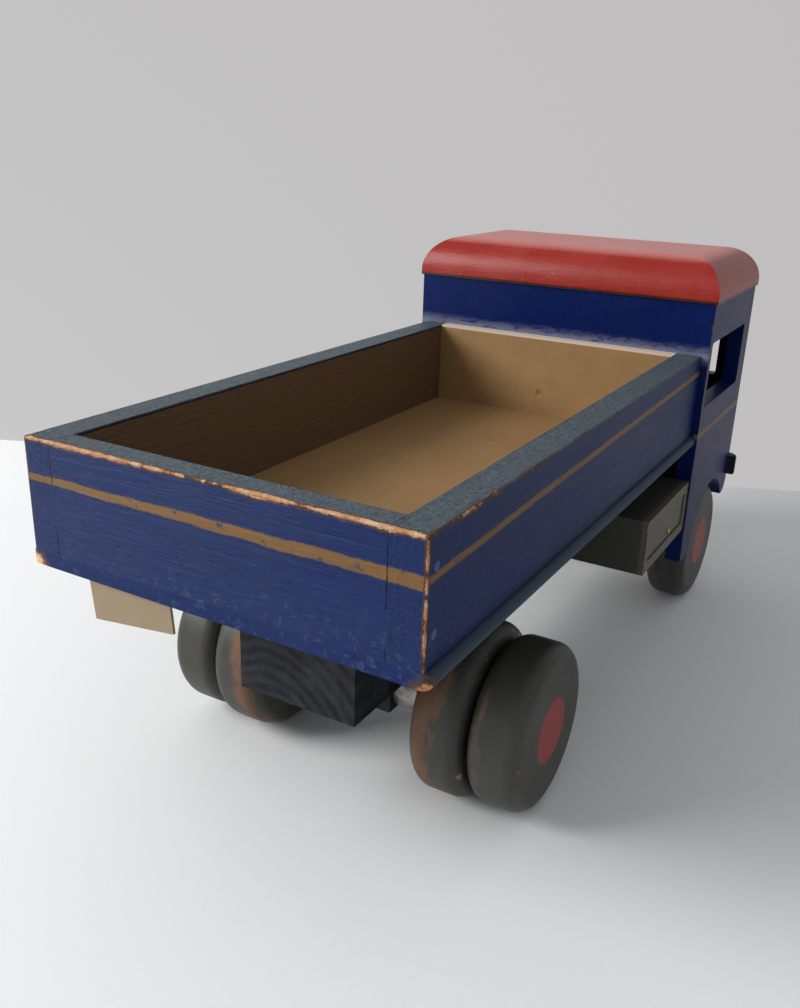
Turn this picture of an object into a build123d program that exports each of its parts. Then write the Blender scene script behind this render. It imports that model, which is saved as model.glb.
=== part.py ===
from build123d import *
import math
import os

os.makedirs("parts", exist_ok=True)

# A wooden toy lorry with an open tray, twin rear wheels and single front wheels.
# +X points forward, +Y to the lorry's left, +Z up.  The floor is Z = 0 and the
# origin is under the middle of the lorry.

# ---- Driving dimensions, in millimetres ----
tray_length = 272.0
tray_width = 150.0
side_height = 40.0
side_thickness = 12.0
tail_thickness = 10.0
head_thickness = 6.5
base_thickness = 5.0
base_overhang = 2.5          # half-round edge of the base, past each tray side
base_corner = 4.0            # rounding of its two rear corners, seen from above
board_easing = 0.8           # outer edges of the tray boards, rubbed round

beam_clearance = 10.2        # beam to the inner face of each rear pair
beam_height = 54.5
beam_setback = 45.0          # from the tailboard to the end grain of the beam

cab_length = 89.0
cab_overhang = 3.5           # cab panels stand this far past the tray sides
cab_height = 65.0            # from the top of the base to the underside of the roof
panel_thickness = 8.0
cab_back_thickness = 6.0
cab_front_thickness = 8.0
roof_thickness = 20.0
roof_rounding = 17.5
roof_overhang = 1.0

wheel_radius = 32.5          # front wheels and outer rear wheels
inner_wheel_extra = 2.0      # the rear pair stands on its inner wheel
wheel_width = 21.0
wheel_shoulder = 6.0
twin_gap = 1.5
rear_wheel_overhang = 3.7    # outer rear wheels stand this far past the tray sides
front_wheel_overhang = 2.0
rear_overhang = 97.0         # tailboard to rear axle
arch_toe = 4.0               # wood between the front of the wheel arch and the cab front

axle_radius = 2.0
washer_headroom = 1.5        # between the washers and the underside of the beam
bolster_length = 24.0
bolster_floor = 8.0          # wood under the axle
rear_stack = 18.8            # length of the washer stack on each side of the bolster
front_stack = 7.6
washer_radius = 9.5
washer_thickness = 1.2
cap_radius = 6.0
cap_thickness = 2.0
hub_radius = 12.8
hub_thickness = 2.5
hub_recess = 6.0             # depth of the hollow that hides the axle end
hub_recess_margin = 2.0      # room round the cap in that hollow
twin_screw_circle = 24.0
twin_screw_radius = 1.5
twin_screw_head = 3.0
twin_head_height = 2.0
twin_head_dome = 1.6         # rounding of the heads
twin_slot_turn = 35.0        # degrees
twin_screw_bite = 7.0        # length of screw in the outer wheel
twin_screw_count = 3
twin_screw_start = 200.0     # degrees, first screw seen from the right

running_fit = 0.08           # wheel bore round the axle
seat_fit = 0.03              # fixed bores round axles, screws and pins
side_play = 0.4              # wheel face to washer or cap

arch_clearance = 3.5
panel_drop = 67.0            # from the top of the base to the panel's lower edge
skirt_drop = 53.0            # the same, in front of the arch
skirt_rounding = 8.0
window_sill = 14.0           # above the top of the base
window_height = 32.0
window_rear_post = 4.5
window_front_post = 14.0
screen_sill = 15.0
screen_height = 32.0
screen_post = 5.0            # wood left beside the windscreen opening
opening_rounding = 2.0
front_drop = 56.0            # front board below the top of the base

bumper_height = 11.0
bumper_depth = 8.0
bumper_rounding = 6.8        # of its two ends, seen from above
bumper_easing = 1.1
bumper_reach = 4.0           # past each cab side
bumper_drop = 38.0           # bumper centre below the top of the base

locker_length = 68.0
locker_height = 26.0
locker_drop = 18.0           # gap between the base and the locker
locker_inset = 1.0           # behind the face of the cab panel
locker_border = 5.0
locker_recess = 2.0
locker_board = 1.2
locker_pin_radius = 1.3
locker_pin_forward = 6.0     # of the middle of the door
locker_pin_depth = 4.0
door_gap = 0.3

plate_length = 35.0
plate_height = 15.5
plate_slant = 4.5            # the lower edge is cut higher towards the middle
plate_thickness = 1.0
plate_setback = 1.0          # in front of the tailboard face
plate_flange = 9.0
plate_offset = 33.5          # plate centre to the left of the middle
plate_lean = 5.0             # degrees, lower edge forward

nail_radius = 0.7
nail_head = 1.5
nail_head_height = 1.0
pin_dome = 0.6               # rounding of the locker pin
nail_length = 20.0
tack_bite = 3.0
slot_width = 0.9             # in the screw heads
slot_depth = 0.9

# ---- Places that follow from them ----
cab_width = tray_width + 2 * cab_overhang
rear_track = tray_width + 2 * rear_wheel_overhang      # over the outer wheel faces
front_track = tray_width + 2 * front_wheel_overhang
overall_length = tray_length + cab_length + bumper_depth
tail_x = -overall_length / 2
cab_x = tail_x + tray_length
front_x = cab_x + cab_length
rear_axle_x = tail_x + rear_overhang
arch_radius = wheel_radius + arch_clearance
front_axle_x = front_x - arch_toe - arch_radius
inner_wheel_radius = wheel_radius + inner_wheel_extra
rear_axle_z = inner_wheel_radius
front_axle_z = wheel_radius
beam_z = rear_axle_z + washer_radius + washer_headroom
rear_face_y = rear_track / 2
front_face_y = front_track / 2
rear_inner_y = rear_face_y - 2 * wheel_width - twin_gap
front_inner_y = front_face_y - wheel_width
beam_width = 2 * (rear_inner_y - beam_clearance)
rear_bolster_width = 2 * (rear_inner_y - side_play - rear_stack)
front_bolster_width = 2 * (front_inner_y - side_play - front_stack)
base_z = beam_z + beam_height
deck_z = base_z + base_thickness
cab_top_z = deck_z + cab_height
panel_inner_y = cab_width / 2 - panel_thickness
board_x = front_x - cab_front_thickness


def keep(piece, label):
    """Name a finished piece and write its STEP file."""
    piece.part.label = label
    export_step(piece.part, f"parts/{label}.step")


def keep_pair(piece, label):
    """Write a right-hand piece, and its mirror image for the left."""
    keep(piece, f"{label}_right")
    with BuildPart() as mirrored:
        mirror(piece.part, about=Plane.XZ)
    keep(mirrored, f"{label}_left")


def upright(y):
    """Plane along the lorry at this y, seen from the right: sketch X is X, sketch Y is Z."""
    return Plane(origin=(0, y, 0), x_dir=(1, 0, 0), z_dir=(0, -1, 0))


def across(x):
    """Plane across the lorry at this x: sketch X is Y, sketch Y is Z."""
    return Plane(origin=(x, 0, 0), x_dir=(0, 1, 0), z_dir=(1, 0, 0))


def half_axle(x, z):
    """Plane through an axle for turned pieces: sketch X is Y, sketch Y is the radius."""
    return Plane(origin=(x, 0, z), x_dir=(0, 1, 0), z_dir=(1, 0, 0))


def axle_line(x, z):
    return Axis((x, 0, z), (0, 1, 0))


# ---- Base board: full width with half-round edges, narrower inside the cab ----
plate_tack_spots = [(tail_x + plate_flange / 2 + plate_setback, plate_offset + side * plate_length / 3)
                    for side in (-1, 1)]
base_width = tray_width + 2 * base_overhang

with BuildPart() as base_board:
    with BuildSketch(across(tail_x)):
        with Locations((0, base_z + base_thickness / 2)):
            SlotOverall(base_width, base_thickness)
    extrude(amount=tray_length)
    with BuildSketch(Plane.XY.offset(base_z)):
        with Locations((tail_x, 0)):
            RectangleRounded(2 * tray_length, base_width, base_corner, align=(Align.MIN, Align.CENTER))
    extrude(amount=base_thickness, mode=Mode.INTERSECT)
    with BuildSketch(Plane.XY.offset(base_z)):
        with Locations((cab_x, 0)):
            Rectangle(board_x - cab_x, 2 * panel_inner_y, align=(Align.MIN, Align.CENTER))
    extrude(amount=base_thickness)
    with BuildSketch(Plane.XY.offset(base_z)):
        with Locations(*plate_tack_spots):
            Circle(nail_radius + seat_fit)
    extrude(amount=tack_bite, mode=Mode.SUBTRACT)
keep(base_board, "base_board")

# ---- Tray: two long sides, with the tailboard and the headboard between them ----
tray_outer_y = tray_width / 2
tray_inner_y = tray_outer_y - side_thickness
tail_nail_spots = [(tail_x + tail_thickness / 2, deck_z + side_height * share) for share in (0.25, 0.75)]
tail_nail_bite = nail_length - side_thickness

with BuildPart() as tray_side:
    with BuildSketch(Plane.XY.offset(deck_z)):
        with Locations((tail_x, -tray_outer_y)):
            Rectangle(tray_length, side_thickness, align=(Align.MIN, Align.MIN))
    extrude(amount=side_height)
    top_edges = tray_side.faces().sort_by(Axis.Z)[-1].edges()
    rear_corner = tray_side.edges().filter_by(Axis.Z).group_by(Axis.X)[0].sort_by(Axis.Y)[0]
    fillet([top_edges.sort_by(Axis.Y)[0], top_edges.sort_by(Axis.X)[0], rear_corner], radius=board_easing)
    for radius, depth in ((nail_radius, side_thickness), (nail_head, nail_head_height)):
        with BuildSketch(upright(depth - tray_outer_y)):
            with Locations(*tail_nail_spots):
                Circle(radius + seat_fit)
        extrude(amount=depth, mode=Mode.SUBTRACT)
keep_pair(tray_side, "tray_side")

with BuildPart() as tailboard:
    with BuildSketch(Plane.XY.offset(deck_z)):
        with Locations((tail_x, 0)):
            Rectangle(tail_thickness, 2 * tray_inner_y, align=(Align.MIN, Align.CENTER))
    extrude(amount=side_height)
    fillet(tailboard.faces().sort_by(Axis.Z)[-1].edges().sort_by(Axis.X)[0], radius=board_easing)
    for start_y in (tail_nail_bite - tray_inner_y, tray_inner_y):
        with BuildSketch(upright(start_y)):
            with Locations(*tail_nail_spots):
                Circle(nail_radius + seat_fit)
        extrude(amount=tail_nail_bite, mode=Mode.SUBTRACT)
keep(tailboard, "tailboard")

with BuildPart() as tray_nails:
    with BuildSketch(upright(nail_length - tray_outer_y)):
        with Locations(*tail_nail_spots):
            Circle(nail_radius)
    extrude(amount=nail_length)
    with BuildSketch(upright(nail_head_height - tray_outer_y)):
        with Locations(*tail_nail_spots):
            Circle(nail_head)
    extrude(amount=nail_head_height)
    mirror(about=Plane.XZ)
keep(tray_nails, "tray_nails")

with BuildPart() as headboard:
    with BuildSketch(Plane.XY.offset(deck_z)):
        with Locations((cab_x - head_thickness, 0)):
            Rectangle(head_thickness, 2 * tray_inner_y, align=(Align.MIN, Align.CENTER))
    extrude(amount=side_height)
keep(headboard, "headboard")

# ---- Chassis: one square timber with its end grain to the rear, and two bolsters ----
bolster_screw_radius = 1.6
bolster_screw_head = 3.4
bolster_head_height = 2.0
bolster_screw_bite = 14.0
bolster_screw_spread = 9.0

with BuildPart() as chassis_beam:
    with BuildSketch(across(tail_x + beam_setback)):
        with Locations((0, beam_z)):
            Rectangle(beam_width, beam_height, align=(Align.CENTER, Align.MIN))
    extrude(amount=board_x - tail_x - beam_setback)
    with BuildSketch(Plane.XY.offset(beam_z)):
        with Locations(*[(x + step * bolster_screw_spread, 0)
                         for x in (rear_axle_x, front_axle_x) for step in (-1, 1)]):
            Circle(bolster_screw_radius + seat_fit)
    extrude(amount=bolster_screw_bite, mode=Mode.SUBTRACT)
keep(chassis_beam, "chassis_beam")

bolsters = (("rear", rear_axle_x, rear_axle_z, rear_bolster_width),
            ("front", front_axle_x, front_axle_z, front_bolster_width))
for name, axle_x, axle_z, width in bolsters:
    foot_z = axle_z - bolster_floor
    with BuildPart() as bolster:
        with BuildSketch(Plane.XY.offset(foot_z)):
            with Locations((axle_x, 0)):
                Rectangle(bolster_length, width)
        extrude(amount=beam_z - foot_z)
        with BuildSketch(upright(width / 2)):
            with Locations((axle_x, axle_z)):
                Circle(axle_radius + seat_fit)
        extrude(amount=width, mode=Mode.SUBTRACT)
        with BuildSketch(Plane.XY.offset(foot_z)):
            with Locations(*[(axle_x + step * bolster_screw_spread, 0) for step in (-1, 1)]):
                Circle(bolster_screw_head + seat_fit)
        extrude(amount=bolster_head_height, mode=Mode.SUBTRACT)
        with BuildSketch(Plane.XY.offset(foot_z)):
            with Locations(*[(axle_x + step * bolster_screw_spread, 0) for step in (-1, 1)]):
                Circle(bolster_screw_radius + seat_fit)
        extrude(amount=beam_z - foot_z, mode=Mode.SUBTRACT)
    keep(bolster, f"{name}_bolster")

with BuildPart() as bolster_screws:
    for name, axle_x, axle_z, width in bolsters:
        spots = [(axle_x + step * bolster_screw_spread, 0) for step in (-1, 1)]
        foot_z = axle_z - bolster_floor
        with BuildSketch(Plane.XY.offset(foot_z)):
            with Locations(*spots):
                Circle(bolster_screw_radius)
        extrude(amount=beam_z - foot_z + bolster_screw_bite)
        with BuildSketch(Plane.XY.offset(foot_z)):
            with Locations(*spots):
                Circle(bolster_screw_head)
        extrude(amount=bolster_head_height)
        with BuildSketch(Plane.XY.offset(foot_z)):
            with Locations(*spots):
                Rectangle(2 * bolster_screw_head + 1, slot_width)
        extrude(amount=slot_depth, mode=Mode.SUBTRACT)
keep(bolster_screws, "bolster_screws")

# ---- Axles, spacing washers and push-on caps ----
axles = (("rear", rear_axle_x, rear_axle_z, rear_face_y, rear_stack, rear_bolster_width),
         ("front", front_axle_x, front_axle_z, front_face_y, front_stack, front_bolster_width))
for name, axle_x, axle_z, face_y, stack, width in axles:
    axle_end = face_y - hub_recess + side_play + cap_thickness
    with BuildPart() as axle:
        with BuildSketch(upright(axle_end)):
            with Locations((axle_x, axle_z)):
                Circle(axle_radius)
        extrude(amount=2 * axle_end)
    keep(axle, f"{name}_axle")

    washer_count = int(stack / (washer_thickness + seat_fit))
    pitch = stack / washer_count
    with BuildPart() as washers:
        for side in (-1, 1):
            for number in range(washer_count):
                start = side * (width / 2 + (number + 1) * pitch)
                with BuildSketch(half_axle(axle_x, axle_z)):
                    with Locations((start, axle_radius + seat_fit)):
                        Rectangle(washer_thickness, washer_radius - axle_radius - seat_fit,
                                  align=(Align.MAX if side > 0 else Align.MIN, Align.MIN))
                revolve(axis=axle_line(axle_x, axle_z))
    keep(washers, f"{name}_washers")

with BuildPart() as axle_caps:
    for name, axle_x, axle_z, face_y, stack, width in axles:
        for side in (-1, 1):
            start = side * (face_y - hub_recess + side_play)
            with BuildSketch(half_axle(axle_x, axle_z)):
                with Locations((start, axle_radius + seat_fit)):
                    Rectangle(cap_thickness, cap_radius - axle_radius - seat_fit,
                              align=(Align.MIN if side > 0 else Align.MAX, Align.MIN))
            revolve(axis=axle_line(axle_x, axle_z))
keep(axle_caps, "axle_caps")


# ---- Wheels, turned on the right and mirrored to the left ----
inner_outer_y = rear_face_y - wheel_width - twin_gap
screw_reach = wheel_width + twin_gap + twin_screw_bite


def screw_spots():
    """Where the twin screws sit round the rear axle."""
    turns = [math.radians(twin_screw_start + 360 * number / twin_screw_count)
             for number in range(twin_screw_count)]
    return [(rear_axle_x + twin_screw_circle * math.cos(turn),
             rear_axle_z + twin_screw_circle * math.sin(turn)) for turn in turns]


def turned_wheel(axle_x, axle_z, radius, outer_y, hubbed, twinned):
    """A right-hand wheel with its outer face at -outer_y.

    A hubbed wheel is hollowed for the axle end and its disc.  The inner wheel of
    a pair has a low boss there instead, which the outer wheel bears on.
    """
    bore = axle_radius + running_fit
    with BuildPart() as wheel:
        with BuildSketch(half_axle(axle_x, axle_z)):
            with BuildLine():
                FilletPolyline((-outer_y, bore), (-outer_y, radius), (-outer_y + wheel_width, radius),
                               (-outer_y + wheel_width, bore), radius=wheel_shoulder)
                Line((-outer_y + wheel_width, bore), (-outer_y, bore))
            make_face()
            if hubbed:
                with Locations((-outer_y, 0)):
                    Rectangle(hub_thickness, hub_radius + seat_fit, align=(Align.MIN, Align.MIN),
                              mode=Mode.SUBTRACT)
                    Rectangle(hub_recess, cap_radius + hub_recess_margin, align=(Align.MIN, Align.MIN),
                              mode=Mode.SUBTRACT)
            else:
                with Locations((-outer_y, bore)):
                    Rectangle(twin_gap, hub_radius - bore, align=(Align.MAX, Align.MIN))
        revolve(axis=axle_line(axle_x, axle_z))
        if twinned:
            with BuildSketch(upright(-rear_inner_y)):
                with Locations(*screw_spots()):
                    Circle(twin_screw_radius + seat_fit)
            extrude(amount=screw_reach, mode=Mode.SUBTRACT)
    return wheel


def hub_disc(axle_x, axle_z, face_y):
    """The disc glued over the axle end, flush with the wheel's outer face."""
    with BuildPart() as disc:
        with BuildSketch(upright(-face_y + hub_thickness)):
            with Locations((axle_x, axle_z)):
                Circle(hub_radius)
        extrude(amount=hub_thickness)
    return disc


keep_pair(turned_wheel(rear_axle_x, rear_axle_z, wheel_radius, rear_face_y, True, True),
          "rear_wheel_outer")
keep_pair(turned_wheel(rear_axle_x, rear_axle_z, inner_wheel_radius, inner_outer_y, False, True),
          "rear_wheel_inner")

# Round-headed slotted screws that hold each rear pair together.
with BuildPart() as twin_screws:
    with BuildSketch(upright(-rear_inner_y)):
        with Locations(*screw_spots()):
            Circle(twin_screw_radius)
    extrude(amount=screw_reach)
    with BuildSketch(upright(-rear_inner_y + twin_head_height)):
        with Locations(*screw_spots()):
            Circle(twin_screw_head)
    extrude(amount=twin_head_height)
    crowns = twin_screws.faces().sort_by(Axis.Y)[-twin_screw_count:]
    fillet([face.edges()[0] for face in crowns], radius=twin_head_dome)
    with BuildSketch(upright(-rear_inner_y + twin_head_height)):
        with Locations(*screw_spots()):
            Rectangle(2 * twin_screw_head + 1, slot_width, rotation=twin_slot_turn)
    extrude(amount=slot_depth, mode=Mode.SUBTRACT)
keep_pair(twin_screws, "twin_screws")

keep_pair(turned_wheel(front_axle_x, front_axle_z, wheel_radius, front_face_y, True, False),
          "front_wheel")
keep_pair(hub_disc(rear_axle_x, rear_axle_z, rear_face_y), "rear_hub_disc")
keep_pair(hub_disc(front_axle_x, front_axle_z, front_face_y), "front_hub_disc")

# ---- Cab: two cut-out side panels with the back and front boards between them ----
window_length = cab_length - window_rear_post - window_front_post
skirt_z = deck_z - skirt_drop

with BuildPart() as cab_side:
    with BuildSketch(upright(-panel_inner_y)):
        with Locations((cab_x, deck_z - panel_drop)):
            Rectangle(cab_length, panel_drop + cab_height, align=(Align.MIN, Align.MIN))
        with Locations((front_axle_x, front_axle_z)):
            Circle(arch_radius, mode=Mode.SUBTRACT)
        with Locations((front_axle_x, skirt_z)):
            Rectangle(arch_radius + arch_toe, panel_drop, align=(Align.MIN, Align.MAX), mode=Mode.SUBTRACT)
        with Locations((cab_x + window_rear_post + window_length / 2,
                        deck_z + window_sill + window_height / 2)):
            RectangleRounded(window_length, window_height, opening_rounding, mode=Mode.SUBTRACT)
    extrude(amount=panel_thickness)
    toe = cab_side.edges().filter_by(Axis.Y).group_by(Axis.X)[-1].sort_by(Axis.Z)[0]
    fillet(toe, radius=skirt_rounding)
keep_pair(cab_side, "cab_side")

with BuildPart() as cab_back:
    with BuildSketch(across(cab_x)):
        with Locations((0, deck_z)):
            Rectangle(2 * panel_inner_y, cab_height, align=(Align.CENTER, Align.MIN))
    extrude(amount=cab_back_thickness)
keep(cab_back, "cab_back")

screen_width = 2 * (panel_inner_y - screen_post)
with BuildPart() as cab_front:
    with BuildSketch(across(board_x)):
        with Locations((0, deck_z - front_drop)):
            Rectangle(2 * panel_inner_y, front_drop + cab_height, align=(Align.CENTER, Align.MIN))
        with Locations((0, deck_z + screen_sill + screen_height / 2)):
            RectangleRounded(screen_width, screen_height, opening_rounding, mode=Mode.SUBTRACT)
    extrude(amount=cab_front_thickness)
keep(cab_front, "cab_front")

with BuildPart() as cab_roof:
    with BuildSketch(Plane.XY.offset(cab_top_z)):
        with Locations((cab_x + cab_length / 2, 0)):
            Rectangle(cab_length + 2 * roof_overhang, cab_width + 2 * roof_overhang)
    extrude(amount=roof_thickness)
    fillet(cab_roof.faces().sort_by(Axis.Z)[-1].edges(), radius=roof_rounding)
keep(cab_roof, "cab_roof")

with BuildPart() as bumper:
    with BuildSketch(across(front_x)):
        with Locations((0, deck_z - bumper_drop)):
            Rectangle(cab_width + 2 * bumper_reach, bumper_height)
    extrude(amount=bumper_depth)
    fillet(bumper.edges().filter_by(Axis.Z).group_by(Axis.X)[-1], radius=bumper_rounding)
    fillet(bumper.faces().sort_by(Axis.X)[-1].edges(), radius=bumper_easing)
keep(bumper, "bumper")

# ---- Locker on the right side of the beam, behind the cab ----
locker_face_y = -(cab_width / 2 - locker_inset)
locker_z = base_z - locker_drop - locker_height
locker_width = -locker_face_y - beam_width / 2
locker_centre = (cab_x - locker_length / 2, locker_z + locker_height / 2)
locker_pin_spot = (locker_centre[0] + locker_pin_forward, locker_z + locker_height / 3)
door_length = locker_length - 2 * locker_border
door_height = locker_height - 2 * locker_border
pin_head_y = locker_face_y + locker_recess - locker_board

with BuildPart() as locker_body:
    with BuildSketch(upright(locker_face_y + locker_width)):
        with Locations(locker_centre):
            Rectangle(locker_length, locker_height)
    extrude(amount=locker_width)
    with BuildSketch(upright(locker_face_y + locker_recess)):
        with Locations(locker_centre):
            Rectangle(door_length, door_height)
    extrude(amount=locker_recess, mode=Mode.SUBTRACT)
    with BuildSketch(upright(locker_face_y + locker_recess + locker_pin_depth)):
        with Locations(locker_pin_spot):
            Circle(nail_radius + seat_fit)
    extrude(amount=locker_pin_depth, mode=Mode.SUBTRACT)
keep(locker_body, "locker_body")

with BuildPart() as locker_door:
    with BuildSketch(upright(locker_face_y + locker_recess)):
        with Locations(locker_centre):
            Rectangle(door_length - 2 * door_gap, door_height - 2 * door_gap)
        with Locations(locker_pin_spot):
            Circle(nail_radius + seat_fit, mode=Mode.SUBTRACT)
    extrude(amount=locker_board)
keep(locker_door, "locker_door")

with BuildPart() as locker_pin:
    with BuildSketch(upright(locker_face_y + locker_recess + locker_pin_depth)):
        with Locations(locker_pin_spot):
            Circle(nail_radius)
    extrude(amount=locker_pin_depth + locker_board)
    with BuildSketch(upright(pin_head_y)):
        with Locations(locker_pin_spot):
            Circle(locker_pin_radius)
    extrude(amount=nail_head_height)
    fillet(locker_pin.faces().sort_by(Axis.Y)[0].edges(), radius=pin_dome)
keep(locker_pin, "locker_pin")

# ---- Bare number plate, bent from sheet and tacked under the base at the left rear ----
lean = math.radians(plate_lean)
flange_z = base_z - plate_thickness
plate_x = tail_x + plate_setback
plate_foot = (plate_height * math.sin(lean), -plate_height * math.cos(lean))
with BuildPart() as number_plate:
    with BuildSketch(upright(plate_offset + plate_length / 2)):
        with BuildLine():
            Polyline((plate_x + plate_flange, base_z),
                     (plate_x, base_z),
                     (plate_x + plate_foot[0], base_z + plate_foot[1]),
                     (plate_x + plate_thickness + plate_foot[0], base_z + plate_foot[1]),
                     (plate_x + plate_thickness * (1 + math.tan(lean)), flange_z),
                     (plate_x + plate_flange, flange_z),
                     close=True)
        make_face()
    extrude(amount=plate_length)
    with BuildSketch(across(plate_x - plate_setback)):
        with BuildLine():
            Polyline((plate_offset + plate_length / 2, base_z + plate_foot[1]),
                     (plate_offset - plate_length / 2, base_z + plate_foot[1] + plate_slant),
                     (plate_offset - plate_length / 2, base_z + plate_foot[1] - plate_slant),
                     (plate_offset + plate_length / 2, base_z + plate_foot[1] - plate_slant),
                     close=True)
        make_face()
    extrude(amount=plate_flange, mode=Mode.SUBTRACT)
    with BuildSketch(Plane.XY.offset(flange_z)):
        with Locations(*plate_tack_spots):
            Circle(nail_radius + seat_fit)
    extrude(amount=plate_thickness, mode=Mode.SUBTRACT)
keep(number_plate, "number_plate")

with BuildPart() as plate_tacks:
    with BuildSketch(Plane.XY.offset(flange_z)):
        with Locations(*plate_tack_spots):
            Circle(nail_radius)
    extrude(amount=plate_thickness + tack_bite)
    with BuildSketch(Plane.XY.offset(flange_z - nail_head_height)):
        with Locations(*plate_tack_spots):
            Circle(nail_head)
    extrude(amount=nail_head_height)
keep(plate_tacks, "plate_tacks")
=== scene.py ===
import math

import bpy
from mathutils import Matrix, Vector


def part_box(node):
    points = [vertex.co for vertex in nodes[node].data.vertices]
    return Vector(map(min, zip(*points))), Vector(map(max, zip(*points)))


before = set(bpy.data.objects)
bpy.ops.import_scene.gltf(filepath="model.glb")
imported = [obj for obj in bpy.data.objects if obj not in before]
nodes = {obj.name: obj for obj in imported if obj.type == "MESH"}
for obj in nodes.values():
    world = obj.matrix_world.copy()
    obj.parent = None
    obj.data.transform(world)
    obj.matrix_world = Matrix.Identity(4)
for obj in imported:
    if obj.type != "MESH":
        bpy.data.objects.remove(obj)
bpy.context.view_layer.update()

# ---- Camera: close behind the right rear corner and above it, looking along the tray ----
# A short lens near the lorry, so the tray runs away strongly towards the cab.
camera_data = bpy.data.cameras.new("camera")
camera_data.lens = 34.53
camera_data.sensor_width = 36.0
camera_data.clip_start = 0.01
camera_data.clip_end = 20.0
camera = bpy.data.objects.new("camera", camera_data)
bpy.context.scene.collection.objects.link(camera)
yaw, pitch, roll = 0.51824, 0.36089, 0.03253
forward = Vector((math.cos(yaw) * math.cos(pitch), math.sin(yaw) * math.cos(pitch), -math.sin(pitch)))
level_right = Vector((math.sin(yaw), -math.cos(yaw), 0.0))
level_up = level_right.cross(forward)
camera_right = level_right * math.cos(roll) + level_up * math.sin(roll)
camera_up = level_up * math.cos(roll) - level_right * math.sin(roll)
turn = Matrix((camera_right, camera_up, -forward)).transposed().to_4x4()
camera.matrix_world = Matrix.Translation((-0.38326, -0.17949, 0.23821)) @ turn
bpy.context.scene.camera = camera


# ---- Table and wall: a pale table top with a pale grey wall behind the lorry ----
# Matt painted board. Both are stage, not part of the lorry. The wall glows with an even tone
# of its own, with painted light low on the left, and lights the lorry only as the grey board that it is.
class Wire:
    """One socket of a material's node tree. Arithmetic on it adds Math nodes."""

    def __init__(self, tree, socket):
        self.tree, self.socket = tree, socket

    def add(self, kind, settings=None, inputs=None, out=0):
        """Add any node: its settings first, then the values or links of its sockets."""
        node = self.tree.nodes.new("ShaderNode" + kind)
        for name, value in (settings or {}).items():
            if name == "stops":
                ramp = node.color_ramp
                while len(ramp.elements) < len(value):
                    ramp.elements.new(0.5)
                for element, (place, colour) in zip(ramp.elements, value):
                    element.position, element.color = place, (*colour, 1.0)
            else:
                setattr(node, name, value)
        for key, value in (inputs or {}).items():
            if isinstance(value, Wire):
                self.tree.links.new(value.socket, node.inputs[key])
            elif isinstance(value, tuple) and len(value) == 3 and node.inputs[key].type == "RGBA":
                node.inputs[key].default_value = (*value, 1.0)
            else:
                node.inputs[key].default_value = value
        return Wire(self.tree, node.outputs[out])

    def math(self, operation, *values, clamp=False):
        return self.add("Math", {"operation": operation, "use_clamp": clamp},
                        dict(enumerate((self, *values))))

    def __add__(self, other):
        return self.math("ADD", other)

    __radd__ = __add__

    def __mul__(self, other):
        return self.math("MULTIPLY", other)

    __rmul__ = __mul__

    def __sub__(self, other):
        return self.math("SUBTRACT", other)

    def __rsub__(self, other):
        return (self * -1.0).math("ADD", other)

    def __truediv__(self, other):
        return self.math("DIVIDE", other)

    def __abs__(self):
        return self.math("ABSOLUTE")

    def least(self, other):
        return self.math("MINIMUM", other)

    def most(self, other):
        return self.math("MAXIMUM", other)

    def above(self, edge, softness):
        """0 under the edge and 1 over it, with a ramp as wide as softness."""
        return ((self - edge) / softness).math("ADD", 0.5, clamp=True)

    def stretched(self, x, y, z):
        return self.add("VectorMath", {"operation": "MULTIPLY"}, {0: self, 1: (x, y, z)})

    def noise(self, scale, detail=4.0, rough=0.55, warp=0.0):
        return self.add("TexNoise", {}, {"Vector": self, "Scale": scale, "Detail": detail,
                                         "Roughness": rough, "Distortion": warp})

    def blend(self, under, over):
        """Colour under where this mask is 0 and colour over where it is 1."""
        return self.add("Mix", {"data_type": "RGBA"}, {0: self, 6: under, 7: over}, out=2)


class Finish:
    """A material around one Principled shader, with the point's own x, y and z in metres."""

    def __init__(self, name):
        self.material = bpy.data.materials.new(name)
        self.material.use_nodes = True
        self.tree = self.material.node_tree
        self.shader = self.tree.nodes["Principled BSDF"]
        self.point = Wire(self.tree, self.tree.nodes.new("ShaderNodeTexCoord").outputs["Object"])
        split = self.tree.nodes.new("ShaderNodeSeparateXYZ")
        self.tree.links.new(self.point.socket, split.inputs[0])
        self.x, self.y, self.z = (Wire(self.tree, socket) for socket in split.outputs)

    def feed(self, colour=None, roughness=None, metallic=None, height=None, relief=0.0003, strength=1.0,
             shine=0.5):
        self.shader.inputs["Specular IOR Level"].default_value = shine
        for name, value in (("Base Color", colour), ("Roughness", roughness), ("Metallic", metallic)):
            socket = self.shader.inputs[name]
            if isinstance(value, Wire):
                self.tree.links.new(value.socket, socket)
            elif value is not None:
                socket.default_value = (*value, 1.0) if isinstance(value, tuple) else value
        if height is not None:
            bump = height.add("Bump", {}, {"Height": height, "Distance": relief, "Strength": strength})
            self.tree.links.new(bump.socket, self.shader.inputs["Normal"])

    def dress(self, *names):
        """Give this material to every slot of the CAD nodes."""
        for name in names:
            data = nodes[name].data
            data.materials.clear()
            data.materials.append(self.material)


def plain_board(name, colour, grain):
    board = Finish(name)
    mottle = board.point.noise(grain, 3.0)
    board.feed(colour=mottle.blend(tuple(0.97 * part for part in colour), colour), roughness=0.6,
               height=board.point.noise(700.0, 2.0), relief=0.0002, strength=0.2)
    return board.material


def stage_sheet(name, corners, material):
    mesh = bpy.data.meshes.new(name)
    mesh.from_pydata(corners, [], [(0, 1, 2, 3)])
    mesh.materials.append(material)
    sheet = bpy.data.objects.new(name, mesh)
    bpy.context.scene.collection.objects.link(sheet)


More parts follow.
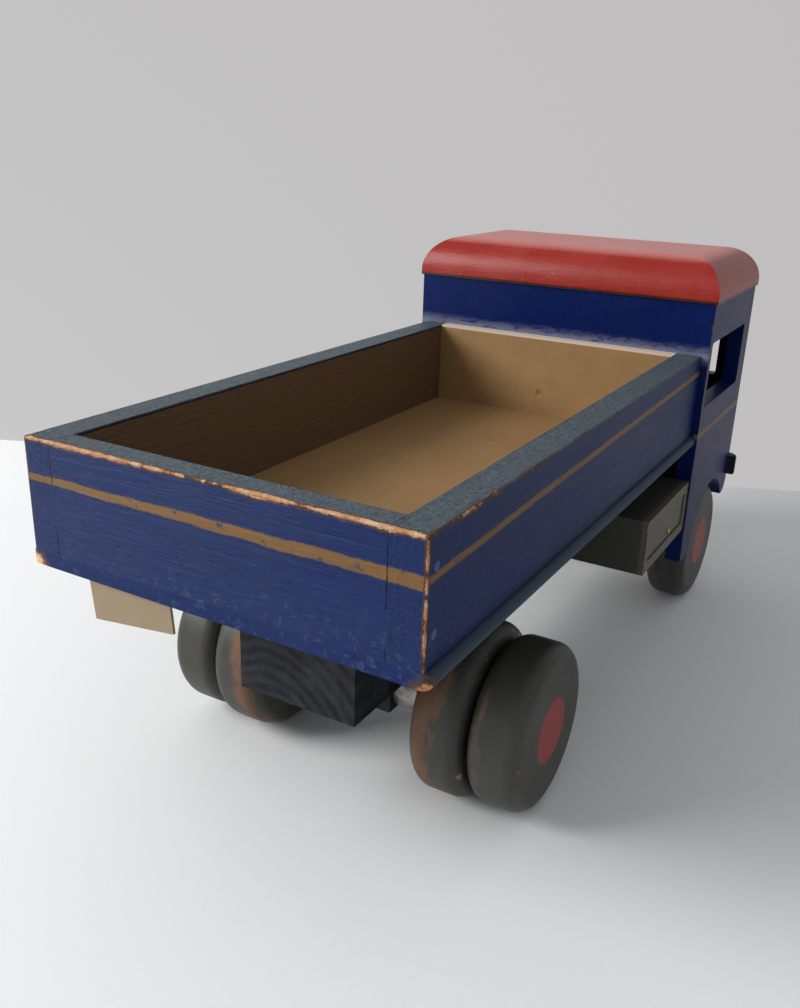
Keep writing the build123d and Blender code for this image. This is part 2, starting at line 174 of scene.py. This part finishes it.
def even_wall(name):
    """A wall that glows evenly to the camera, made a little lighter low down on the left as painted light.
    """
    wall = Finish(name)
    wall.feed(colour=(0.62, 0.61, 0.60), roughness=0.6)
    even_tone = wall.tree.nodes.new("ShaderNodeBsdfPrincipled")
    even_tone.inputs["Base Color"].default_value = (0.0, 0.0, 0.0, 1.0)
    even_tone.inputs["Specular IOR Level"].default_value = 0.0
    even_tone.inputs["Emission Strength"].default_value = 1.0
    # Painted light: the glow is lighter low down on the left, towards the window lamp.
    painted_light_low_left = (1.0 - wall.z.above(0.35, 0.7)) * wall.y.above(0.15, 0.8)
    wall_glow_with_painted_light = painted_light_low_left.blend((0.515, 0.500, 0.500), (0.590, 0.590, 0.590))
    wall.tree.links.new(wall_glow_with_painted_light.socket, even_tone.inputs["Emission Color"])
    ray = wall.tree.nodes.new("ShaderNodeLightPath")
    straight, mirrored, through = (Wire(wall.tree, ray.outputs[f"Is {kind} Ray"])
                                   for kind in ("Camera", "Glossy", "Transmission"))
    look = wall.tree.nodes.new("ShaderNodeMixShader")
    wall.tree.links.new(straight.most(mirrored).most(through).socket, look.inputs[0])
    wall.tree.links.new(wall.shader.outputs[0], look.inputs[1])
    wall.tree.links.new(even_tone.outputs[0], look.inputs[2])
    wall.tree.links.new(look.outputs[0], wall.tree.nodes["Material Output"].inputs["Surface"])
    return wall.material


table_reach, wall_height = 3.0, 2.4
table_paint = plain_board("table_paint", (0.80, 0.81, 0.81), 3.0)
wall_paint = even_wall("wall_paint")
stage_sheet("table", [(-table_reach, -table_reach, 0), (table_reach, -table_reach, 0),
                      (table_reach, table_reach, 0), (-table_reach, table_reach, 0)], table_paint)
wall_foot = Vector((0.1075, 0.4711, 0.0))
wall_across = (Vector((0.3594, -0.0969, 0.0)) - wall_foot).normalized()
near, far = wall_foot + wall_across * table_reach, wall_foot - wall_across * table_reach
stage_sheet("wall", [tuple(near), tuple(far), (far.x, far.y, wall_height), (near.x, near.y, wall_height)],
            wall_paint)

# ---- Light: one soft window light from the left and behind, in a pale room ----
# The lamp stands well off, so the table is lit evenly. The room fills the shadows.
def soft_lamp(name, place, target, size, power):
    lamp_data = bpy.data.lights.new(name, "AREA")
    lamp_data.energy, lamp_data.size = power, size
    lamp = bpy.data.objects.new(name, lamp_data)
    bpy.context.scene.collection.objects.link(lamp)
    aim = (Vector(target) - Vector(place)).to_track_quat("-Z", "Y")
    lamp.matrix_world = Matrix.Translation(place) @ aim.to_matrix().to_4x4()


soft_lamp("window_light", (-1.20, 1.34, 1.12), (0.0, 0.0, 0.05), 0.95, 43.0)
world = bpy.data.worlds.new("room")
bpy.context.scene.world = world
world.use_nodes = True
world.node_tree.nodes["Background"].inputs["Color"].default_value = (0.95, 0.97, 1.0, 1.0)
world.node_tree.nodes["Background"].inputs["Strength"].default_value = 0.50
bpy.context.scene.view_settings.view_transform = "Standard"

# ---- Base board: a thin board with half-round edges under the whole tray ----
# Softwood. Its long edges are brushed slate blue, its rear end is blue with the
# tailboard above it, and its top is the tan floor of the tray.
raw_wood = (0.40, 0.150, 0.050)
pale_wood = (0.68, 0.43, 0.26)
tray_blue = (0.0030, 0.0150, 0.082)
rim_slate = (0.050, 0.080, 0.105)
tan_paint = (0.285, 0.170, 0.073)
stripe_gold = (0.155, 0.082, 0.026)
side_box, tail_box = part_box("tray_side_left"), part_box("tailboard")
head_box, base_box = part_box("headboard"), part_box("base_board")
tail_x, tail_inner_x, rim_z = tail_box[0].x, tail_box[1].x, tail_box[1].z
outer_y, inner_y = side_box[1].y, side_box[0].y
head_x, deck_z, base_z = head_box[0].x, head_box[0].z, base_box[0].z


def scaled(colour, factor):
    return tuple(factor * part for part in colour)


def brush_marks(finish, x, y, z):
    """Height of paint laid on with a coarse brush, drawn out along the long direction."""
    strokes = finish.point.stretched(x, y, z)
    return strokes.noise(9.0, 6.0, 0.62, 0.35) * 0.7 + strokes.noise(34.0, 3.0, 0.6) * 0.3


def worn(finish, colour, edge, reach, amount):
    """Wood showing where edge, the distance to the nearest corner line, is small."""
    broken = finish.point.noise(38.0, 5.0, 0.65) * 0.75 + finish.point.noise(420.0, 4.0, 0.7) * 0.35
    wear = (1.0 - edge / reach) * 0.55 + broken + 0.3 * amount
    bare = finish.point.noise(130.0, 5.0, 0.7).above(0.5, 0.25).blend(raw_wood, pale_wood)
    rubbed = wear.above(1.21, 0.10).blend(colour, (0.065, 0.038, 0.030))
    chip = wear.above(1.31, 0.05)
    return chip.blend(rubbed, bare), chip


def outer_blue(finish, marks):
    """Royal blue enamel: brushed, with greyed patches and fine pale scratches."""
    blue = marks.blend(scaled(tray_blue, 0.55), scaled(tray_blue, 1.5))
    dull = finish.point.noise(17.0, 5.0, 0.62).above(0.60, 0.25) * 0.5
    blue = dull.blend(blue, (0.014, 0.028, 0.088))
    pits = finish.point.noise(240.0, 4.0, 0.7).above(0.64, 0.05) * 0.6
    blue = pits.blend(blue, (0.0015, 0.005, 0.026))
    scratch = finish.point.noise(520.0, 3.0, 0.6, 2.5).above(0.715, 0.02)
    low = 1.0 - finish.z.above(deck_z + 0.009, 0.022)
    scuff = finish.point.noise(330.0, 5.0, 0.75, 0.6).above(0.60, 0.08) * low
    return (scratch * 0.35 + scuff * 0.30).blend(blue, (0.10, 0.15, 0.24))


def tan_inside(finish):
    """Flat tan paint with rubbed patches, brush streaks and pale scratches."""
    patches = finish.point.stretched(1.0, 1.6, 1.6).noise(13.0, 5.0, 0.6)
    streaks = finish.point.stretched(3.0, 30.0, 30.0).noise(9.0, 5.0, 0.6)
    tone = patches.above(0.52, 0.5).blend(scaled(tan_paint, 0.86), scaled(tan_paint, 1.12))
    tone = (streaks.above(0.6, 0.3) * 0.25).blend(tone, (0.20, 0.108, 0.044))
    dirt = finish.point.noise(70.0, 6.0, 0.7).above(0.63, 0.08) * 0.35
    tone = dirt.blend(tone, (0.20, 0.12, 0.06))
    specks = finish.point.noise(240.0, 4.0, 0.7).above(0.69, 0.03) * 0.55
    return specks.blend(tone, (0.44, 0.31, 0.175))


base_finish = Finish("base_paint")
base_marks = brush_marks(base_finish, 4.0, 4.0, 60.0)
inside_tray = 1.0 - abs(base_finish.y).above(inner_y + 0.001, 0.001)
on_deck = base_finish.z.above(deck_z - 0.0006, 0.0004) * inside_tray * base_finish.x.above(
    tail_inner_x - 0.0005, 0.0004)
edge_blue = base_marks.blend((0.016, 0.034, 0.062), (0.045, 0.070, 0.098))
rear_marks = brush_marks(base_finish, 60.0, 3.0, 60.0)
rear_blue = outer_blue(base_finish, rear_marks)
side_edge_y = base_box[1].y
at_rear = (1.0 - base_finish.x.above(tail_x + 0.0022, 0.0014)) * (
    1.0 - abs(base_finish.y).above(outer_y - 0.001, 0.003))
base_colour = at_rear.blend(edge_blue, rear_blue)
rear_corner = (base_finish.x - tail_x) * 0.6 + (side_edge_y - abs(base_finish.y)) * 0.5 + (
    base_finish.z - base_z) * 0.5
base_colour, base_chips = worn(base_finish, base_colour, rear_corner, 0.0085, 1.25)
base_finish.feed(colour=on_deck.blend(base_colour, tan_inside(base_finish)),
                 roughness=base_marks.math("MULTIPLY_ADD", 0.25, 0.42),
                 height=base_marks - base_chips * 0.5, relief=0.0004, strength=0.6, shine=0.15)
base_finish.dress("base_board")


# ---- Tray: two long sides with the tailboard and the headboard nailed between them ----
# Softwood. Royal blue outside with a gold coach line, slate blue on the rim and
# tan inside, all put on by brush and worn through to the wood along the rim.
def tray_finish(name, lengthwise):
    finish = Finish(name)
    x, y, z = finish.x, abs(finish.y), finish.z
    wobble = (finish.point.noise(60.0, 3.0) - 0.5) * 0.0016
    ragged = (finish.point.noise(420.0, 4.0, 0.7) - 0.5) * 0.0012
    marks = brush_marks(finish, 3.0, 60.0, 60.0) if lengthwise else brush_marks(finish, 60.0, 3.0, 60.0)
    to_rear, to_side, to_rim = x - tail_x, outer_y - y, rim_z - z
    rear_edge = ((to_rear + to_side) * 1.5).least(to_rear + to_rim)
    side_edge = to_side + to_rim + (x - tail_x) * 0.012
    blue = outer_blue(finish, marks)
    rear_face = 1.0 - to_rear.above(0.0012, 0.0004)
    rear_line = 1.0 - abs(z + wobble + ragged - rim_z + 0.0134).above(finish.y * -0.0067 + 0.0017, 0.0006)
    side_line_z = z + wobble * 0.8 + ragged * 0.6 - rim_z + 0.0128 - (x - tail_x) * 0.017
    side_line = 1.0 - abs(side_line_z).above(0.0012, 0.0006)
    line = rear_face * rear_line + (1.0 - rear_face) * side_line
    gold = marks.blend(scaled(stripe_gold, 0.8), (0.215, 0.115, 0.040))
    blue = (line * finish.point.noise(300.0, 3.0).above(0.30, 0.15)).blend(blue, gold)
    grit = finish.point.noise(650.0, 4.0, 0.75)
    rim = grit.above(0.52, 0.35).blend(scaled(rim_slate, 0.65), (0.115, 0.150, 0.170))
    joint = 1.0 - abs(y - inner_y).above(0.00018, 0.0001)
    crack = joint * (1.0 - x.above(tail_inner_x, 0.0002)) * finish.point.noise(90.0, 3.0).above(0.53, 0.1)
    inner_edge = (abs(y - inner_y) if lengthwise else abs(x - tail_inner_x)) + to_rim
    colour = (1.0 - (to_rim + ragged).above(0.0006, 0.0005)).blend(blue, rim)
    colour, outer_chips = worn(finish, colour, rear_edge, 0.0032, 1.2)
    colour, side_chips = worn(finish, colour, side_edge, 0.0050, 0.85)
    colour, inner_chips = worn(finish, colour, inner_edge, 0.0026, 0.30)
    chips = outer_chips.most(side_chips).most(inner_chips)
    inside = (x + wobble * 0.5).above(tail_inner_x - 0.0006, 0.0005)
    tan = tan_inside(finish)
    if lengthwise:
        inside = inside * (1.0 - (y + wobble * 0.5).above(inner_y + 0.0006, 0.0005))
        # Painted shade: the left side's inner face is a darker tan, as it faces away from the window light.
        tan = finish.y.above(0.0, 0.01).blend(tan, (0.118, 0.074, 0.040))
    colour = (inside * to_rim.above(0.0011, 0.0008)).blend(colour, tan)
    seam = (1.0 - (z - deck_z + wobble * 0.4).above(0.0012, 0.0008)) * (1.0 - rear_face) * (1.0 - inside)
    colour = crack.most(seam * 0.75).blend(colour, (0.004, 0.006, 0.020))
    on_rim = 1.0 - to_rim.above(0.0008, 0.0005)
    finish.feed(colour=colour, roughness=marks.math("MULTIPLY_ADD", 0.25, 0.30) + chips * 0.25,
                height=marks + grit * on_rim * 1.2 - chips * 0.9 - crack * 1.5,
                relief=0.0010, strength=0.85, shine=0.16)
    return finish


tray_finish("side_paint", True).dress("tray_side_left", "tray_side_right")
tray_finish("tail_paint", False).dress("tailboard")

head_finish = Finish("headboard_paint")
head_edge = 1.0 - (rim_z - head_finish.z).above(0.0009, 0.0006)
head_marks = brush_marks(head_finish, 60.0, 3.0, 30.0)
dent = head_finish.point.add("VectorMath", {"operation": "DISTANCE"},
                             {0: head_finish.point, 1: (head_x, 0.004, deck_z + 0.011)}, out=1)
dent_depth = 1.0 - dent.above(0.0015, 0.0016)
head_tone = (dent_depth * 0.45).blend(tan_inside(head_finish), (0.13, 0.075, 0.035))
head_finish.feed(colour=head_edge.blend(head_tone, (0.62, 0.50, 0.40)), roughness=0.6,
                 height=head_marks * 0.4 - dent_depth, relief=0.0007, strength=0.7, shine=0.25)
head_finish.dress("headboard")


# ---- Nails, screws, axles, washers and caps: plain steel, bought ----
# Dulled by handling. The nail heads are driven flush and painted over with the tray.
def steel(name, colour, rough, grain):
    finish = Finish(name)
    tarnish = finish.point.noise(grain, 5.0, 0.65)
    finish.feed(colour=tarnish.above(0.55, 0.3).blend(colour, tuple(0.35 * part for part in colour)),
                roughness=tarnish.math("MULTIPLY_ADD", 0.35, rough), metallic=0.9,
                height=finish.point.noise(900.0, 2.0), relief=0.0001, strength=0.3)
    return finish


steel("dull_steel", (0.32, 0.31, 0.30), 0.25, 260.0).dress(
    "rear_axle", "front_axle", "rear_washers", "front_washers", "axle_caps", "bolster_screws",
    "twin_screws_left", "twin_screws_right", "plate_tacks")
painted_heads = Finish("painted_nail_heads")
head_blue = painted_heads.point.noise(500.0, 4.0).blend((0.015, 0.03, 0.15), (0.03, 0.06, 0.24))
painted_heads.feed(colour=head_blue, roughness=0.4, height=painted_heads.point.noise(700.0),
                   relief=0.0002, strength=0.4)
painted_heads.dress("tray_nails")

# ---- Chassis timber and bolsters: sawn softwood, thin black paint over the end grain ----
# The growth rings at the rear end show through as ridges.
black_finish = Finish("black_timber")
ring_centre = black_finish.point.add("VectorMath", {"operation": "SUBTRACT"},
                                     {0: black_finish.point, 1: (0.0, 0.010, base_z - 0.070)})
ring_warp = black_finish.point.stretched(0.3, 1.0, 1.0).noise(45.0, 4.0, 0.6)
across_grain = ring_centre.stretched(0.0, 1.0, 1.0)
ring_radius = across_grain.add("VectorMath", {"operation": "LENGTH"}, {0: across_grain}, out=1)
rings = ((ring_radius + ring_warp * 0.010) * 1250.0).math("SINE")
black_fine = black_finish.point.stretched(0.15, 1.0, 1.0).noise(260.0, 5.0, 0.7)
rubbed_black = black_finish.point.noise(60.0, 5.0, 0.65).above(0.60, 0.15) * 0.5
rear_end = 1.0 - (black_finish.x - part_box("chassis_beam")[0].x).above(0.0012, 0.001)
rings = rings * (rear_end * 0.8 + 0.2)
ridges = (rings * 0.16 + black_fine * 0.8).above(0.48, 0.5)
black_tone = ridges.blend((0.006, 0.007, 0.010), (0.026, 0.029, 0.036))
black_finish.feed(colour=rubbed_black.blend(black_tone, (0.045, 0.048, 0.055)),
                  roughness=black_fine.math("MULTIPLY_ADD", 0.3, 0.38),
                  height=rings * 0.25 + black_fine * 0.75, relief=0.0005, strength=0.6, shine=0.15)
black_finish.dress("chassis_beam", "rear_bolster", "front_bolster", "bumper")


# ---- Wheels: turned hardwood discs, two to each rear pair, olive grey paint ----
# Lathe lines run round them. A band of the inner wheels' tread is rubbed through
# to brown wood, and the shoulders are chipped.
def wheel_finish(name, node, band):
    finish = Finish(name)
    low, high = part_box(node)
    centre = (low + high) / 2
    radius = (high.z - low.z) / 2
    from_hub = finish.point.add("VectorMath", {"operation": "SUBTRACT"},
                                {0: finish.point, 1: tuple(centre)})
    flat = from_hub.stretched(1.0, 0.0, 1.0)
    ring = flat.add("VectorMath", {"operation": "LENGTH"}, {0: flat}, out=1)
    turned = (ring * 2600.0 + finish.point.noise(40.0, 3.0) * 3.0).math("SINE")
    grain = finish.point.stretched(6.0, 6.0, 1.2).noise(20.0, 6.0, 0.65, 0.4)
    cloud = finish.point.noise(30.0, 5.0, 0.6)
    paint = grain.blend((0.026, 0.0265, 0.022), (0.060, 0.059, 0.050))
    paint = (cloud.above(0.55, 0.3) * 0.6).blend(paint, (0.078, 0.074, 0.060))
    tread = ring.above(radius - 0.0030, 0.002)
    paint = (tread * 0.15).blend(paint, (0.020, 0.019, 0.016))
    from_band = abs(abs(finish.y) - abs(centre.y) + 0.0055)
    patch = finish.point.stretched(1.0, 2.2, 1.0).noise(27.0, 6.0, 0.7)
    rub = (patch * 1.1 + tread * band - from_band * 32.0).above(0.72, 0.12)
    wood = grain.blend((0.090, 0.043, 0.024), (0.21, 0.105, 0.057))
    shoulder = 1.0 - abs(ring - radius + 0.0035).above(0.0016, 0.002)
    chips = (finish.point.noise(120.0, 5.0, 0.7) + shoulder * 0.09).above(0.735, 0.02)
    colour = chips.blend((rub * 0.85).blend(paint, wood), (0.34, 0.17, 0.085))
    finish.feed(colour=colour, roughness=grain.math("MULTIPLY_ADD", 0.25, 0.35) + rub * 0.1,
                height=turned * 0.12 + grain * 0.8 - chips * 0.5, relief=0.0005, strength=0.6,
                shine=0.3)
    finish.dress(node)


for side in ("left", "right"):
    for wheel, band in (("rear_wheel_outer", 0.08), ("rear_wheel_inner", 0.31), ("front_wheel", 0.22)):
        wheel_finish(f"{wheel}_{side}_paint", f"{wheel}_{side}", band)

# ---- Hub discs: thin turned discs glued over the axle ends ----
# Hardwood, painted red by brush and rubbed through in a few spots.
hub_finish = Finish("hub_red")
hub_tone = hub_finish.point.noise(90.0, 5.0, 0.6)
hub_rub = hub_finish.point.noise(160.0, 5.0, 0.7).above(0.68, 0.05)
hub_red = hub_tone.blend((0.21, 0.010, 0.010), (0.34, 0.026, 0.020))
hub_finish.feed(colour=hub_rub.blend(hub_red, (0.10, 0.04, 0.03)),
                roughness=hub_tone.math("MULTIPLY_ADD", 0.2, 0.35),
                height=hub_tone, relief=0.0004, strength=0.5)
hub_finish.dress("rear_hub_disc_left", "rear_hub_disc_right", "front_hub_disc_left", "front_hub_disc_right")


# ---- Cab: two cut-out panels with a back and a front board between them ----
# A deeper blue than the tray, with painted shade making it nearly black inside, a gold line
# at the tray floor's height and whitish scuffs where loads have rubbed the back board.
cab_low, cab_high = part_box("cab_side_left")
panel_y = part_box("cab_back")[1].y
cab_blue = (0.0010, 0.0085, 0.070)
cab_finish = Finish("cab_paint")
cab_x, cab_y, cab_z = cab_finish.x, abs(cab_finish.y), cab_finish.z
cab_marks = brush_marks(cab_finish, 8.0, 30.0, 20.0)
cab_tone = cab_marks.blend(scaled(cab_blue, 0.75), scaled(cab_blue, 1.3))
worn_patch = cab_finish.point.noise(24.0, 5.0, 0.6).above(0.62, 0.2) * 0.5
cab_tone = worn_patch.blend(cab_tone, (0.010, 0.024, 0.092))
on_panel = cab_y.above(panel_y + 0.006, 0.001)
cab_line = (1.0 - abs(cab_z - deck_z).above(0.0014, 0.0006)) * on_panel
cab_tone = (cab_line * 0.85).blend(cab_tone, stripe_gold)
on_back = 1.0 - cab_x.above(cab_low.x + 0.001, 0.0004)
scuff_height = (1.0 - abs(cab_z - rim_z).above(0.0025, 0.006)) * on_back
scuff_break = cab_finish.point.stretched(1.0, 1.0, 3.0).noise(150.0, 5.0, 0.7)
scuffs = scuff_height * (scuff_break + scuff_height * 0.2).above(0.52, 0.2)
cab_tone = (scuffs * 0.6).blend(cab_tone, (0.26, 0.27, 0.36))
cab_edge = (cab_high.y - cab_y) + (cab_x - cab_low.x).least(cab_high.x - cab_x)
cab_tone, cab_chips = worn(cab_finish, cab_tone, cab_edge, 0.0045, 0.35)
# Painted shade: the inside faces of the cab are coloured nearly black.
painted_shade_in_cab = (1.0 - cab_y.above(panel_y + 0.0004, 0.0004)) * cab_x.above(cab_low.x + 0.0052, 0.0004) * (
    1.0 - cab_x.above(cab_high.x - 0.0075, 0.0004))
cab_finish.feed(colour=painted_shade_in_cab.blend(cab_tone, (0.008, 0.010, 0.018)),
                roughness=cab_marks.math("MULTIPLY_ADD", 0.2, 0.28) + cab_chips * 0.3,
                height=cab_marks - cab_chips * 0.6, relief=0.0004, strength=0.6, shine=0.1)
cab_finish.dress("cab_side_left", "cab_side_right", "cab_back", "cab_front")

# ---- Roof: one block, its top edges rounded over with a plane ----
# Red gloss with a painted pinkish sheen on top, where the gloss reflects the window light,
# with pale specks over it and a dark line along its lower edge.
roof_low, roof_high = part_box("cab_roof")
roof_finish = Finish("roof_paint")
roof_marks = brush_marks(roof_finish, 40.0, 4.0, 40.0)
roof_red = roof_marks.blend((0.190, 0.008, 0.004), (0.330, 0.019, 0.010))
roof_cloud = roof_finish.point.noise(35.0, 5.0, 0.62).above(0.56, 0.25) * 0.4
roof_red = roof_cloud.blend(roof_red, (0.33, 0.050, 0.038))
# Painted reflection: the top is coloured pinkish where the gloss picks up the window light.
roof_painted_sheen = (roof_finish.z + roof_marks * 0.001).above(roof_high.z - 0.0012, 0.0022)
roof_red = (roof_painted_sheen * 0.68).blend(roof_red, (0.58, 0.20, 0.18))
roof_specks = roof_finish.point.noise(260.0, 4.0, 0.7).above(0.70, 0.03) * 0.5
roof_red = roof_specks.blend(roof_red, (0.62, 0.36, 0.28))
roof_edge = roof_finish.z - roof_low.z
roof_colour, roof_chips = worn(roof_finish, roof_red, roof_edge, 0.0045, 0.30)
# A dark line is coloured along the lower edge, where the roof meets the cab.
under_line = 1.0 - (roof_edge + roof_marks * 0.0008).above(0.0016, 0.0008)
roof_finish.feed(colour=under_line.blend(roof_colour, (0.022, 0.012, 0.014)),
                 roughness=roof_marks.math("MULTIPLY_ADD", 0.2, 0.24) + roof_chips * 0.3,
                 height=roof_marks - roof_chips * 0.6 - under_line * 0.6,
                 relief=0.0005, strength=0.6, shine=0.3)
roof_finish.dress("cab_roof")

# ---- Locker: a small box with a recessed door, glued to the timber behind the cab ----
# Dull olive paint, lighter over the frame's outer face, with a brass pin as its knob.
locker_low, locker_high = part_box("locker_body")
locker_finish = Finish("locker_paint")
locker_marks = brush_marks(locker_finish, 4.0, 30.0, 30.0)
locker_base = locker_marks.blend((0.026, 0.026, 0.019), (0.052, 0.050, 0.037))
# The outer face of the frame is coloured a lighter olive than the rest.
locker_face = 1.0 - (locker_finish.y - locker_low.y).above(0.0026, 0.0006)
lighter_frame_olive = locker_marks.blend((0.085, 0.076, 0.052), (0.125, 0.110, 0.078))
locker_base = (locker_face * 0.8).blend(locker_base, lighter_frame_olive)
locker_edge = (locker_finish.y - locker_low.y) + (locker_high.z - locker_finish.z).least(
    (locker_finish.z - locker_low.z).least(locker_finish.x - locker_low.x))
locker_colour, locker_chips = worn(locker_finish, locker_base, abs(locker_edge), 0.004, 0.5)
locker_finish.feed(colour=locker_colour, roughness=locker_marks.math("MULTIPLY_ADD", 0.2, 0.4),
                   height=locker_marks - locker_chips * 0.5, relief=0.0004, strength=0.5)
locker_finish.dress("locker_body", "locker_door")
brass = Finish("brass")
brass_tone = brass.point.noise(500.0, 4.0)
brass.feed(colour=brass_tone.blend((0.45, 0.27, 0.09), (0.62, 0.42, 0.17)), metallic=1.0,
           roughness=brass_tone.math("MULTIPLY_ADD", 0.3, 0.25),
           height=brass_tone, relief=0.0001, strength=0.3)
brass.dress("locker_pin")

# ---- Number plate: bent sheet, tacked under the base at the left rear ----
# Thin metal, painted cream and left bare, with a few rust spots.
plate_finish = Finish("plate_cream")
plate_tone = plate_finish.point.noise(45.0, 5.0, 0.6)
plate_spots = plate_finish.point.noise(260.0, 5.0, 0.7).above(0.68, 0.04)
plate_cream = plate_tone.blend((0.215, 0.155, 0.082), (0.285, 0.215, 0.122))
plate_finish.feed(colour=plate_spots.blend(plate_cream, (0.20, 0.13, 0.07)), roughness=0.5,
                  height=plate_tone, relief=0.0003, strength=0.4)
plate_finish.dress("number_plate")
